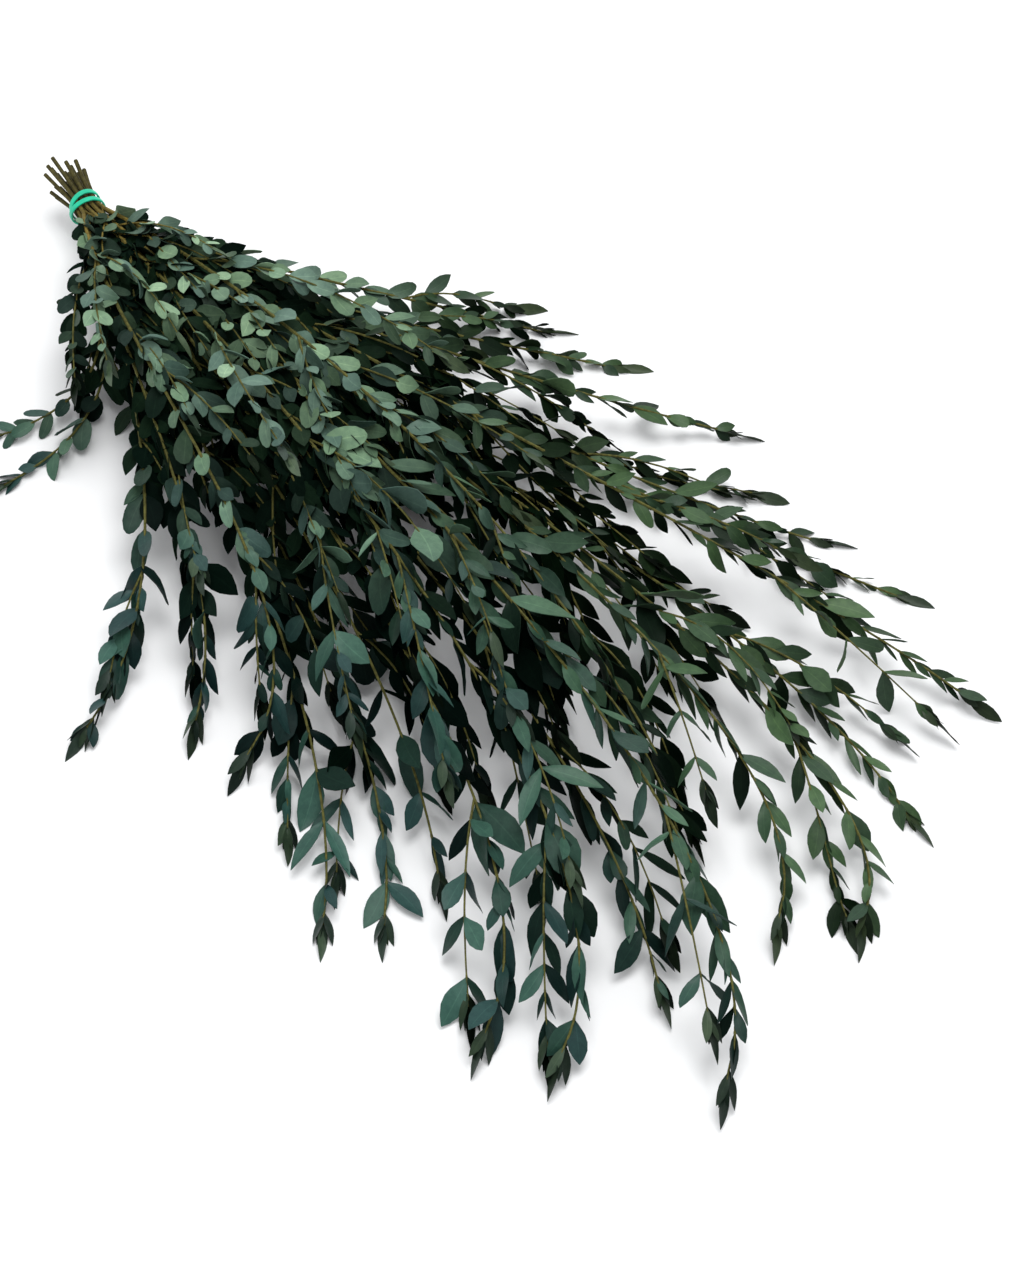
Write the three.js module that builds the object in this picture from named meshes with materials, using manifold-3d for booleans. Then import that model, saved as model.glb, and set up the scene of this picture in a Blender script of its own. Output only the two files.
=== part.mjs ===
// A tied bunch of small-leaved eucalyptus, lying on a flat surface. Twenty-two cut branches are held
// near their cut ends by one green elastic band wound twice round them. Each branch is one solid: its
// stem, its side shoots and its leaves. Millimetres, +Z up, +X from the cut ends towards the tips.
import * as THREE from "three";
import { mergeVertices } from "three/addons/utils/BufferGeometryUtils.js";
import Module from "manifold-3d";

const wasm = await Module();
wasm.setup();

// The tie: how high its middle lies, and how the stems are packed in it.
const TIE_HEIGHT = 30;
const TIE_HALF_LENGTH = 7; // the stems run straight and parallel this far each side of the tie
const LAYERS = [4, 5, 4, 5, 4]; // stems in each layer of the tie, lowest layer first
const STEM_PITCH = 3.3;
const CUT_LENGTH = 34; // from the tie back to the cut ends
const CUT_SPLAY = 1.7; // how much wider the cut ends spread than the tie

// Stems and leaves.
const STEM_RADIUS = 1.35;
const TIP_RADIUS = 0.75;
const SHOOT_RADIUS = 0.95;
const STEM_SIDES = 4;
const SHOOT_SIDES = 3;
const STEM_STEPS = 10;
const SHOOT_STEPS = 3;
const SHOOT_SPACING = 90;
const NO_SHOOTS = 115; // this much of a branch's reach adds no shoot
const SHOOT_OPEN = [18, 32]; // degrees between a shoot and its stem
const LEAF_OPEN = [24, 50]; // degrees between a leaf and its stem
const HOOK = 95; // how far back from its tip a stem that turns sharply begins to turn
const DROOP = 0.35; // how much the shoots far out on the right hang that way
const DROOP_HEADING = -40;
const END_LEAF = 20; // the last leaf reaches this far past the end of its stem
const ROOT_DEPTH = 0.5; // a leaf starts this far behind the middle of its stem
const KEEL = 1.3; // depth of a blade at its midrib
const LEAF_SHARE = 0.3; // the share of a stem's nodes that carry a leaf here
const TIP_HEIGHTS = [1, 1, 6, 9, 12]; // of the stem ends, lowest layer first
const FLOOR = 5; // no shoot lies lower than this
const DIP = 0.8; // a resting leaf is pressed flat by less than this
const PRESS = 0.5; // and its tip by this much
const GAP = 0.35; // left between neighbours

// One line for each branch, in the order of the tie's layers, each layer from its left to its right.
// heading: of the tip from the tie, in degrees from +X, positive to the left. reach: from the tie to the
// tip. lead: the heading it leaves the tie with. finish: the heading its tip points in. crown: how high
// its arch is drawn up.
const BRANCHES = [
  { heading: 42, reach: 357, lead: 22, finish: 54, crown: 30 },
  { heading: 29, reach: 570, lead: 18, finish: 38, crown: 30 },
  { heading: -10, reach: 559, lead: -3, finish: -36, crown: 30 },
  { heading: -43, reach: 218, lead: -14, finish: -90, crown: 26 },

  { heading: 45, reach: 306, lead: 24, finish: 56, crown: 42 },
  { heading: 31, reach: 514, lead: 18, finish: 50, crown: 43 },
  { heading: 16, reach: 656, lead: 13, finish: -4, crown: 46 },
  { heading: -13, reach: 549, lead: -6, finish: -36, crown: 46 },
  { heading: -50, reach: 180, lead: -18, finish: -108, crown: 38 },

  { heading: 37.5, reach: 436, lead: 17, finish: 56, crown: 56 },
  { heading: 9, reach: 675, lead: 12, finish: -56, crown: 62 },
  { heading: -6, reach: 549, lead: -2, finish: -23, crown: 62 },
  { heading: -27, reach: 399, lead: -12, finish: -66, crown: 60 },

  { heading: 24, reach: 639, lead: 12, finish: 26, crown: 82 },
  { heading: 6, reach: 652, lead: 9, finish: -52, crown: 84 },
  { heading: 0.5, reach: 658, lead: 3, finish: -19, crown: 84 },
  { heading: -8.5, reach: 638, lead: -1, finish: -60, crown: 82 },
  { heading: -18, reach: 408, lead: -16, finish: -46, crown: 80 },

  { heading: 7, reach: 590, lead: 10, finish: -10, crown: 112 },
  { heading: -0.5, reach: 716, lead: 5, finish: -52, crown: 106 },
  { heading: -6, reach: 664, lead: 2, finish: -62, crown: 106 },
  { heading: -16, reach: 435, lead: -20, finish: -72, crown: 100 },
];

const vec = (x, y, z) => new THREE.Vector3(x, y, z);
const UP = vec(0, 0, 1);
const rad = THREE.MathUtils.degToRad;
const mix = THREE.MathUtils.lerp;

// A seeded random draw, the same on every run.
function seeded(seed) {
  let a = seed >>> 0;
  return () => {
    a = (a + 0x6d2b79f5) >>> 0;
    let t = Math.imul(a ^ (a >>> 15), 1 | a);
    t = (t + Math.imul(t ^ (t >>> 7), 61 | t)) ^ t;
    return ((t ^ (t >>> 14)) >>> 0) / 4294967296;
  };
}

const smooth = (low, high, x) => {
  const t = Math.min(1, Math.max(0, (x - low) / (high - low)));
  return t * t * (3 - 2 * t);
};

// The direction across a stem, level, and the one above it.
function across(tangent) {
  const side = UP.clone().cross(tangent).normalize();
  return { side, above: tangent.clone().cross(side).normalize() };
}

// Where each stem passes through the tie, left to right in each layer.
function tieSlots() {
  const slots = [];
  LAYERS.forEach((count, layer) => {
    for (let i = 0; i < count; i++) {
      const y = ((count - 1) / 2 - i) * STEM_PITCH;
      const z = (layer - (LAYERS.length - 1) / 2) * STEM_PITCH * 0.87;
      slots.push({ y, z, tip: TIP_HEIGHTS[layer] });
    }
  });
  return slots;
}

const ahead = (degrees, length) =>
  vec(length * Math.cos(rad(degrees)), length * Math.sin(rad(degrees)), 0);

// The line of a branch's stem: cut end, through the tie, then an arch that comes down at the tip.
function stemLine(branch, slot, random, steps) {
  const cut = CUT_LENGTH * (0.75 + 0.5 * random());
  const end = ahead(branch.heading, branch.reach).sub(ahead(branch.finish, END_LEAF));
  const leave = ahead(branch.lead, 0.42 * branch.reach);
  const turn = smooth(20, 90, Math.abs(branch.finish - branch.lead));
  const arrive = end.clone().sub(ahead(branch.finish, mix(0.2 * branch.reach, HOOK, turn)));
  const arch = new THREE.CubicBezierCurve3(
    vec(TIE_HALF_LENGTH, slot.y, TIE_HEIGHT + slot.z),
    vec(leave.x, leave.y + slot.y, branch.crown),
    vec(arrive.x, arrive.y, branch.crown * 0.55),
    vec(end.x, end.y, slot.tip),
  );
  return [
    vec(-cut, slot.y * CUT_SPLAY, TIE_HEIGHT + slot.z * CUT_SPLAY),
    vec(-TIE_HALF_LENGTH, slot.y, TIE_HEIGHT + slot.z),
    ...arch.getPoints(steps),
  ];
}

// A point, and the direction, at a distance along a line of points.
function along(points, distance) {
  let left = distance;
  for (let i = 1; i < points.length; i++) {
    const step = points[i].distanceTo(points[i - 1]);
    if (left <= step || i === points.length - 1)
      return {
        point: points[i - 1].clone().lerp(points[i], Math.min(1, left / step)),
        tangent: points[i].clone().sub(points[i - 1]).normalize(),
      };
    left -= step;
  }
}

const lengthOf = (points) =>
  points.slice(1).reduce((sum, p, i) => sum + p.distanceTo(points[i]), 0);

// A side shoot: it leaves its stem at an angle, swings back towards the stem's own way, and sags.
function shootLine(from, tangent, draw, turn) {
  const { side, above } = across(tangent);
  const roll = draw.roll + turn;
  const out = side.multiplyScalar(Math.sin(roll)).addScaledVector(above, Math.cos(roll));
  const first = tangent.clone().multiplyScalar(Math.cos(draw.spread));
  first.addScaledVector(out, Math.sin(draw.spread)).normalize();
  const last = first.clone().multiplyScalar(0.62).addScaledVector(tangent, 0.38);
  last.add(ahead(DROOP_HEADING, draw.droop * smooth(150, 450, from.x))).normalize();
  const end = from.clone().addScaledVector(last, draw.length);
  end.z -= draw.sag * draw.length;
  const bend = from.clone().addScaledVector(first, draw.length * 0.45);
  const line = new THREE.QuadraticBezierCurve3(from, bend, end).getPoints(SHOOT_STEPS);
  line.slice(1).forEach((p) => (p.z = Math.max(p.z, FLOOR)));
  return line;
}

// The random draws for the shoots of one branch. Left and right take turns.
function shootDraws(branch, random) {
  const count = Math.max(0, Math.floor((branch.reach - NO_SHOOTS) / SHOOT_SPACING));
  const first = random() < 0.5 ? 1 : -1;
  return Array.from({ length: count }, (_, j) => {
    const share = 0.16 + (0.74 * (j + 0.6 * random())) / count;
    return {
      share,
      roll: first * (j % 2 ? -1 : 1) * rad(mix(40, 105, random())),
      spread: rad(mix(...SHOOT_OPEN, random())),
      length: (0.36 - 0.22 * share) * mix(250, branch.reach, 0.75) * mix(0.8, 1.15, random()),
      sag: mix(0.08, 0.3, random()),
      droop: DROOP * (1 - smooth(5, 22, branch.heading)),
    };
  });
}

// The random draws for the leaves of one stem: pairs along it, each pair turned from the one before.
// They are small near the tie and reach the longest length far out.
function leafDraws(line, start, longest, random) {
  const total = lengthOf(line);
  const draws = [];
  let turned = random() * Math.PI;
  for (let at = start; at < total - 4; ) {
    const { point, tangent } = along(line, at);
    const grown = smooth(60, 520, point.x);
    const nearEnd = mix(0.6, 1, smooth(0, 60, total - at));
    const length = mix(14, longest, grown) * nearEnd * mix(0.8, 1.2, random());
    draws.push({
      point,
      tangent,
      length,
      width: length * mix(0.62, 0.37, grown) * mix(0.85, 1.15, random()),
      roll: turned + random() * 0.5,
      spread: rad(mix(...LEAF_OPEN, random())),
      lean: rad(mix(-45, 45, random())),
      arch: mix(0.02, 0.16, random()),
    });
    turned += Math.PI / 2;
    at += length * mix(0.8, 1.05, random());
  }
  return draws;
}

// Ways a leaf can be bent clear of its neighbours: turned round its stem, and opened from it.
const BENDS = [
  [0, 0], [18, 0], [-18, 0], [0, 12], [0, -12], [36, 0], [-36, 0], [24, 14], [-24, 14],
  [24, -14], [-24, -14], [54, 0], [-54, 0], [72, 8], [-72, 8], [90, 0], [-90, 0],
].map(([turn, open]) => ({ turn: rad(turn), open: rad(open) }));

// Where a leaf lies: its root, the way it points, and the way its upper face looks.
function leafPose(draw, hand, bend) {
  const { side, above } = across(draw.tangent);
  const roll = draw.roll + (hand > 0 ? 0 : Math.PI) + bend.turn;
  const spread = draw.spread + bend.open;
  const out = side.multiplyScalar(Math.cos(roll)).addScaledVector(above, 0.7 * Math.sin(roll));
  out.normalize();
  const way = draw.tangent.clone().multiplyScalar(Math.cos(spread));
  way.addScaledVector(out, Math.sin(spread)).normalize();
  // A leaf that would go through the table is bent up to lie on it.
  const drop = (draw.point.z + PRESS - 0.2) / draw.length - draw.arch;
  if (way.z < -drop) {
    way.z = -drop;
    way.normalize();
  }
  const face = UP.clone().addScaledVector(way, -way.z).normalize();
  const lean = draw.lean * smooth(8, 30, draw.point.z);
  return { root: draw.point, way, face: face.applyAxisAngle(way, lean) };
}

// A blade: six-sided seen from above and level across, its root a point inside the stem, with the
// midrib standing out as a keel below.
function bladeGeometry(pose, draw) {
  const { way, face } = pose;
  const side = face.clone().cross(way);
  const root = pose.root.clone().addScaledVector(way, -ROOT_DEPTH);
  const spot = (t, off, down) =>
    root
      .clone()
      .addScaledVector(way, draw.length * t)
      .addScaledVector(side, off * draw.width)
      .addScaledVector(face, -down - draw.arch * draw.length * t * t);
  const points = [
    spot(0, 0, 0.3), spot(0.35, 0.47, 0), spot(0.35, -0.47, 0), spot(0.7, 0.4, 0), spot(0.7, -0.4, 0),
    spot(1, 0, 0.2), spot(0.3, 0, KEEL),
  ];
  const upper = [[0, 2, 1], [1, 2, 4], [1, 4, 3], [3, 4, 5]];
  const lower = [[0, 1, 6], [1, 3, 6], [3, 5, 6], [5, 4, 6], [4, 2, 6], [2, 0, 6]];
  return geometryOf(points, [...upper, ...lower]);
}

function geometryOf(points, faces) {
  const g = new THREE.BufferGeometry();
  g.setAttribute("position", new THREE.Float32BufferAttribute(points.flatMap((p) => p.toArray()), 3));
  g.setIndex(faces.flat());
  return g;
}

// A tapered tube with closed ends along a line of points.
function tubeGeometry(line, radiusAt, sides) {
  const points = [];
  const faces = [];
  line.forEach((p, i) => {
    const tangent = line[Math.min(i + 1, line.length - 1)].clone().sub(line[Math.max(i - 1, 0)]);
    const { side, above } = across(tangent.normalize());
    for (let k = 0; k < sides; k++) {
      const angle = (k / sides) * 2 * Math.PI;
      const out = side.clone().multiplyScalar(Math.cos(angle));
      out.addScaledVector(above, Math.sin(angle));
      points.push(p.clone().addScaledVector(out, radiusAt(i / (line.length - 1))));
    }
    if (i === 0) return;
    for (let k = 0; k < sides; k++) {
      const next = (k + 1) % sides;
      const a = (i - 1) * sides;
      const b = i * sides;
      faces.push([a + k, a + next, b + next], [a + k, b + next, b + k]);
    }
  });
  const last = (line.length - 1) * sides;
  for (let k = 1; k < sides - 1; k++) {
    faces.push([0, k + 1, k]);
    faces.push([last, last + k, last + k + 1]);
  }
  return geometryOf(points, faces);
}

function solidOf(geometry) {
  const bare = geometry.clone();
  bare.deleteAttribute("normal");
  bare.deleteAttribute("uv");
  const merged = mergeVertices(bare, 1e-4);
  return new wasm.Manifold(
    new wasm.Mesh({
      numProp: 3,
      vertProperties: merged.attributes.position.array,
      triVerts: new Uint32Array(merged.index.array),
    }),
  );
}

function geometryOfSolid(solid) {
  const mesh = solid.getMesh();
  const g = new THREE.BufferGeometry();
  g.setAttribute("position", new THREE.BufferAttribute(new Float32Array(mesh.vertProperties), 3));
  g.setIndex(new THREE.BufferAttribute(new Uint32Array(mesh.triVerts), 1));
  g.computeVertexNormals();
  return g;
}

// Everything placed so far, so that the next piece can be kept clear of it.
const placed = [];

function near(a, b) {
  return [0, 1, 2].every((i) => a.min[i] < b.max[i] + GAP && b.min[i] < a.max[i] + GAP);
}

function isClear(solid, ownStem) {
  const box = solid.boundingBox();
  return placed.every(
    (other) =>
      other.stem === ownStem || !near(box, other.box) || solid.minGap(other.solid, 2 * GAP) >= GAP,
  );
}

function place(solid, stem) {
  placed.push({ solid, stem, box: solid.boundingBox() });
}

// The branches' stems come first, then every shoot, then the leaves. Each has random draws of its own.
const slots = tieSlots();
const branches = BRANCHES.map((branch, i) => {
  const seed = 5284 + 97 * i;
  const line = stemLine(branch, slots[i], seeded(seed), STEM_STEPS);
  const radius = (t) => mix(STEM_RADIUS, TIP_RADIUS, t);
  const solid = solidOf(tubeGeometry(line, radius, STEM_SIDES));
  const stem = { line, start: TIE_HALF_LENGTH + CUT_LENGTH + 18, name: `${i}`, seed: seed + 1 };
  place(solid, stem.name);
  const longest = mix(36, 27, smooth(-5, 25, branch.heading));
  return { branch, stem, seed, longest, stems: [stem], solids: [solid] };
});

for (const b of branches)
  shootDraws(b.branch, seeded(b.seed + 2)).forEach((draw, j) => {
    const { point, tangent } = along(b.stem.line, draw.share * lengthOf(b.stem.line));
    for (const turn of [0, 25, -25, 50, -50, 75, -75]) {
      const line = shootLine(point, tangent, draw, rad(turn));
      const radius = (t) => (t === 0 ? 0.45 : mix(SHOOT_RADIUS, 0.65, t));
      const solid = solidOf(tubeGeometry(line, radius, SHOOT_SIDES));
      if (!isClear(solid, b.stem.name)) continue;
      const stem = { line, start: 12, name: `${b.stem.name}_${j}`, seed: b.seed + 3 + j };
      place(solid, stem.name);
      b.stems.push(stem);
      b.solids.push(solid);
      return;
    }
  });

// Puts one leaf on, bent clear of all else, or leaves it out if no bend is clear.
function addLeaf(b, stem, draw, hand) {
  for (const bend of BENDS) {
    const pose = leafPose(draw, hand, bend);
    const solid = solidOf(bladeGeometry(pose, draw));
    if (solid.boundingBox().min[2] < -DIP || !isClear(solid, stem.name)) continue;
    place(solid, stem.name + "_leaf" + placed.length);
    b.solids.push(solid);
    return;
  }
}

// The leaf at the end of a stem, which goes on the way the stem does.
function endLeaf(stem) {
  const { point, tangent } = along(stem.line, lengthOf(stem.line) - 3);
  return { point, tangent, length: END_LEAF + 5, width: 8, roll: 0, spread: 0, lean: 0, arch: 0.05 };
}

for (const b of branches)
  for (const stem of b.stems) {
    const draws = leafDraws(stem.line, stem.start, b.longest, seeded(stem.seed));
    const chosen = draws
      .map((draw, k) => ({ draw, k, hand: k % 2 ? 1 : -1 }))
      .filter(({ k }) => Math.floor((k + 1) * LEAF_SHARE) > Math.floor(k * LEAF_SHARE));
    chosen.push({ draw: endLeaf(stem), hand: 1 });
    for (const { draw, hand } of chosen) addLeaf(b, stem, draw, hand);
  }

// The elastic band: one closed strip wound twice round the stems, crossing over itself underneath.
const BAND_WIDTH = 3.4;
const BAND_THICK = 1.2;
const BAND_STEPS = 48;
const BAND_APART = 3.9; // each turn's distance from the middle of the tie, on the upper side
const BAND_CROSSING = rad(225); // where it crosses, from +Y towards +Z

function bandGeometry() {
  const reach = Math.max(...slots.map(({ y, z }) => Math.hypot(y, z)));
  const inner = reach + STEM_RADIUS + GAP;
  const points = [];
  const faces = [];
  for (let i = 0; i < BAND_STEPS; i++) {
    const wind = (i / BAND_STEPS) * 4 * Math.PI;
    const angle = wind + BAND_CROSSING - Math.PI;
    const over = (BAND_THICK + GAP) * smooth(0.5, 0.93, Math.sin(wind / 2));
    for (const [out, off] of [[0, -1], [1, -1], [1, 1], [0, 1]]) {
      const r = inner + over + out * BAND_THICK;
      const x = BAND_APART * Math.cos(wind / 2) + (off * BAND_WIDTH) / 2;
      points.push(vec(x, r * Math.cos(angle), TIE_HEIGHT + r * Math.sin(angle)));
    }
    const next = (i + 1) % BAND_STEPS;
    for (let k = 0; k < 4; k++) {
      const a = i * 4;
      const b = next * 4;
      const n = (k + 1) % 4;
      faces.push([a + k, b + n, a + n], [a + k, b + k, b + n]);
    }
  }
  return geometryOf(points, faces);
}

// The table cuts each pressed leaf to a small flat spot.
const table = solidOf(new THREE.BoxGeometry(3000, 3000, 60).translate(0, 0, -30));

const leafGreen = new THREE.MeshStandardMaterial({ color: 0x3c5a4b, roughness: 0.55 });
const bandGreen = new THREE.MeshStandardMaterial({ color: 0x1fb98a, roughness: 0.45 });

const bunch = new THREE.Group();
branches.forEach((b, i) => {
  const whole = wasm.Manifold.union(b.solids).subtract(table);
  const parts = whole.decompose().sort((p, q) => q.volume() - p.volume());
  const mesh = new THREE.Mesh(geometryOfSolid(parts[0]), leafGreen);
  mesh.name = `branch_${String(i + 1).padStart(2, "0")}`;
  bunch.add(mesh);
});
const band = new THREE.Mesh(bandGeometry(), bandGreen);
band.name = "elastic_band";
bunch.add(band);

// The origin is under the middle of the whole bunch, on the table.
const box = new THREE.Box3().setFromObject(bunch);
const middle = box.getCenter(vec(0, 0, 0));
bunch.position.set(-middle.x, -middle.y, 0);

export default bunch;
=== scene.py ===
# %% [markdown]
# A tied bunch of eucalyptus, lying on a table
#
# The real thing is twenty-two cut branches of a small-leaved eucalyptus. A green elastic band, wound
# twice, holds them near their cut ends. From there the branches fan out, arch over one another and
# come down to the table at their tips. This notebook dresses the solid model of that bunch: smooth
# stems, full sets of leaves, the band, and the light they are seen in. Lengths are in metres.

# %% Load the solid model
import math

import bpy
import numpy as np
from mathutils import Matrix, Vector
from mathutils.kdtree import KDTree


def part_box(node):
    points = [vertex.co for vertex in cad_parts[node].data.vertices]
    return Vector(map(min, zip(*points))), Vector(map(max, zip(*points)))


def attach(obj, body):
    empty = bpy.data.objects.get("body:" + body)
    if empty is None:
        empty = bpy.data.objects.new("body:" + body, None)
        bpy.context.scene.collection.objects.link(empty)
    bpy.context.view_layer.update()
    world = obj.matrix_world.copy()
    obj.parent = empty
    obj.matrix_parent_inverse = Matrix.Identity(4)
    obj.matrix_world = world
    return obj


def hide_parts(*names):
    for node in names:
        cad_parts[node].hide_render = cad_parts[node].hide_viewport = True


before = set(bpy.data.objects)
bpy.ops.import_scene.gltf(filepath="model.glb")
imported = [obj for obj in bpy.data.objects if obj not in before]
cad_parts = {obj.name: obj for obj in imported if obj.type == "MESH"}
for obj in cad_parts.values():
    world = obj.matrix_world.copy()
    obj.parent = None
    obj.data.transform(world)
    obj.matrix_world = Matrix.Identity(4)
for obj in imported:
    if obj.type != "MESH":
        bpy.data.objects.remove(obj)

MM = 0.001
UP = Vector((0, 0, 1))
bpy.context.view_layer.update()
tie_low, tie_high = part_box("elastic_band")
BAND_OVER = 1.55 * MM  # how much further out the band lies below and on its -Y side, where it crosses
tie = (tie_low + tie_high) / 2 + Vector((0, BAND_OVER, BAND_OVER)) / 2  # the middle of the tied stems
ground_under_tie = Vector((tie.x, tie.y, 0))
print("tie at", tuple(round(v, 4) for v in tie))

# %% [markdown]
# The camera comes first, so that every later step can be judged from where the photograph was taken.
#
# The tied stems show as an ellipse about three quarters as high as it is wide, so the camera looks
# down at about fifty degrees. The bunch runs away from its tie towards the lower right, which is a
# heading of sixty degrees from the picture's own right. A long lens keeps the far tips from growing.

# %% Camera
PHOTO_SIZE = (1024, 1280)
TIE_PIXEL = (87, 208)  # where the middle of the tie is in the photograph
CAMERA_ELEVATION = math.radians(50)
BUNCH_HEADING = math.radians(60)
CAMERA_DISTANCE = 1.6
METRES_PER_PIXEL = 0.545 * MM  # on the table, at the middle of the picture
SENSOR = 36.0

right = Vector((math.cos(BUNCH_HEADING), math.sin(BUNCH_HEADING), 0))
away = Vector((-math.sin(BUNCH_HEADING), math.cos(BUNCH_HEADING), 0))
forward = away * math.cos(CAMERA_ELEVATION) - UP * math.sin(CAMERA_ELEVATION)
picture_up = right.cross(forward)
pixels_to_focus = CAMERA_DISTANCE / METRES_PER_PIXEL


def ray_to(pixel):
    """The direction from the camera through a pixel of the photograph."""
    across = pixel[0] - PHOTO_SIZE[0] / 2
    down = pixel[1] - PHOTO_SIZE[1] / 2
    return forward * pixels_to_focus + right * across - picture_up * down


to_tie = ray_to(TIE_PIXEL)
eye_height = CAMERA_DISTANCE * math.sin(CAMERA_ELEVATION)
eye = tie - to_tie * ((tie.z - eye_height) / to_tie.z)
camera_data = bpy.data.cameras.new("camera")
camera_data.sensor_width = SENSOR
camera_data.lens = pixels_to_focus * SENSOR / PHOTO_SIZE[1]
camera_data.clip_end = 20
camera = bpy.data.objects.new("camera", camera_data)
bpy.context.scene.collection.objects.link(camera)
camera.matrix_world = Matrix.Translation(eye) @ Matrix((right, picture_up, -forward)).transposed().to_4x4()
bpy.context.scene.camera = camera
print("camera at", tuple(round(v, 3) for v in eye), "lens", round(camera_data.lens, 1))

# %% [markdown]
# The branches follow a rule, not a scan. Each is one entry of a table: where its tip lies, how far out
# that is, which way it leaves the tie, which way its tip turns and how high it arches. The solid model
# was made by the same rule with the same seeded draws, so each stem here runs inside its solid one.

# %% Sizes of the bunch
TIE_HALF_LENGTH = 7 * MM
LAYERS = (4, 5, 4, 5, 4)  # stems in each layer of the tie, lowest layer first
TIP_HEIGHTS = (1, 1, 6, 9, 12)  # of the stem ends in each layer, in millimetres
STEM_PITCH = 3.3 * MM
CUT_LENGTH = 34 * MM  # from the tie back to the cut ends
CUT_SPLAY = 1.7  # how much wider the cut ends spread than the tie
STEM_STEPS = 10
SHOOT_STEPS = 3
SHOOT_SPACING = 90 * MM
NO_SHOOTS = 115 * MM  # this much of a branch's reach adds no shoot
SHOOT_OPEN = (18, 32)  # degrees between a shoot and its stem
LEAF_OPEN = (24, 50)  # degrees between a leaf and its stem
GROWN = (60 * MM, 520 * MM)  # from the tie: where leaves begin to grow longer, and are at their longest
SHORTEST_LEAF = 14  # in millimetres, next to the tie
LEAF_WIDTHS = (0.62, 0.37)  # a leaf's share of width in its length, next to the tie and far out
HOOK = 95 * MM  # how far back from its tip a stem that turns sharply begins to turn
DROOP = 0.35  # how much the shoots far out on the right hang that way
DROOP_HEADING = -40
END_LEAF = 20 * MM  # the last leaf reaches this far past the end of its stem
LEAF_SHARE = 0.3  # the share of a stem's nodes that carry a leaf in the solid model
FLOOR = 5 * MM  # no shoot lies lower than this
PRESS = 0.5 * MM  # how far the tip of a resting leaf is pressed down in the solid model
FIRST_SEED = 5284  # of the first branch
SEED_STEP = 97  # from one branch to the next
BRANCHES = [  # heading of the tip, reach in millimetres, heading at the tie and at the end, and crown
    (42, 357, 22, 54, 30), (29, 570, 18, 38, 30), (-10, 559, -3, -36, 30), (-43, 218, -14, -90, 26),
    (45, 306, 24, 56, 42), (31, 514, 18, 50, 43), (16, 656, 13, -4, 46), (-13, 549, -6, -36, 46),
    (-50, 180, -18, -108, 38),
    (37.5, 436, 17, 56, 56), (9, 675, 12, -56, 62), (-6, 549, -2, -23, 62), (-27, 399, -12, -66, 60),
    (24, 639, 12, 26, 82), (6, 652, 9, -52, 84), (0.5, 658, 3, -19, 84), (-8.5, 638, -1, -60, 82),
    (-18, 408, -16, -46, 80),
    (7, 590, 10, -10, 112), (-0.5, 716, 5, -52, 106), (-6, 664, 2, -62, 106), (-16, 435, -20, -72, 100),
]


def mix(a, b, t):
    return a + (b - a) * t


def smooth(low, high, x):
    t = min(1, max(0, (x - low) / (high - low)))
    return t * t * (3 - 2 * t)


def seeded(seed):
    """A random draw from 0 to 1 that is the same on every run."""
    state = seed
    word = 0xFFFFFFFF

    def draw():
        nonlocal state
        state = (state + 0x6D2B79F5) & word
        t = ((state ^ (state >> 15)) * (1 | state)) & word
        t = ((t + (((t ^ (t >> 7)) * (61 | t)) & word)) ^ t) & word
        return (t ^ (t >> 14)) / 4294967296

    return draw


# %% [markdown]
# A stem is a line of points before it is a mesh. These helpers measure such a line, walk along it, and
# make one from a Bezier curve. Plain arithmetic does that with no curve object in the scene, so that a
# line can be held against the solid model before anything is made.

# %% Lines of points
def length_of(line):
    return sum((b - a).length for a, b in zip(line, line[1:]))


def along(line, distance):
    """The point and the direction at a distance along a line of points."""
    left = distance
    for a, b in zip(line, line[1:]):
        step = (b - a).length
        if left <= step or b is line[-1]:
            return a.lerp(b, min(1, left / step)), (b - a).normalized()
        left -= step


def across(tangent):
    """The level direction across a stem, and the one above it."""
    side = UP.cross(tangent).normalized()
    return side, tangent.cross(side).normalized()


def cubic(ends, steps):
    a, b, c, d = ends
    line = []
    for i in range(steps + 1):
        t = i / steps
        s = 1 - t
        line.append(a * s**3 + b * (3 * s * s * t) + c * (3 * s * t * t) + d * t**3)
    return line


def quadratic(ends, steps):
    a, b, c = ends
    ts = [i / steps for i in range(steps + 1)]
    return [a * (1 - t) ** 2 + b * (2 * t * (1 - t)) + c * t**2 for t in ts]


# %% [markdown]
# The band grips each stem, and past it the stem rises, arches over and comes down under its own weight.
# A cubic Bezier curve gives that arch from four points. The side shoots are quadratic ones: they leave
# at an angle and bend back towards the way that their stem goes.

# %% Where the stems run
def tie_slots():
    """Each stem's place in the tie, left to right in each layer, and the height of its tip."""
    slots = []
    for layer, count in enumerate(LAYERS):
        for i in range(count):
            y = ((count - 1) / 2 - i) * STEM_PITCH
            z = (layer - (len(LAYERS) - 1) / 2) * STEM_PITCH * 0.87
            slots.append((y, z, TIP_HEIGHTS[layer] * MM))
    return slots


def ahead(degrees, length):
    return Vector((math.cos(math.radians(degrees)), math.sin(math.radians(degrees)), 0)) * length


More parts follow.
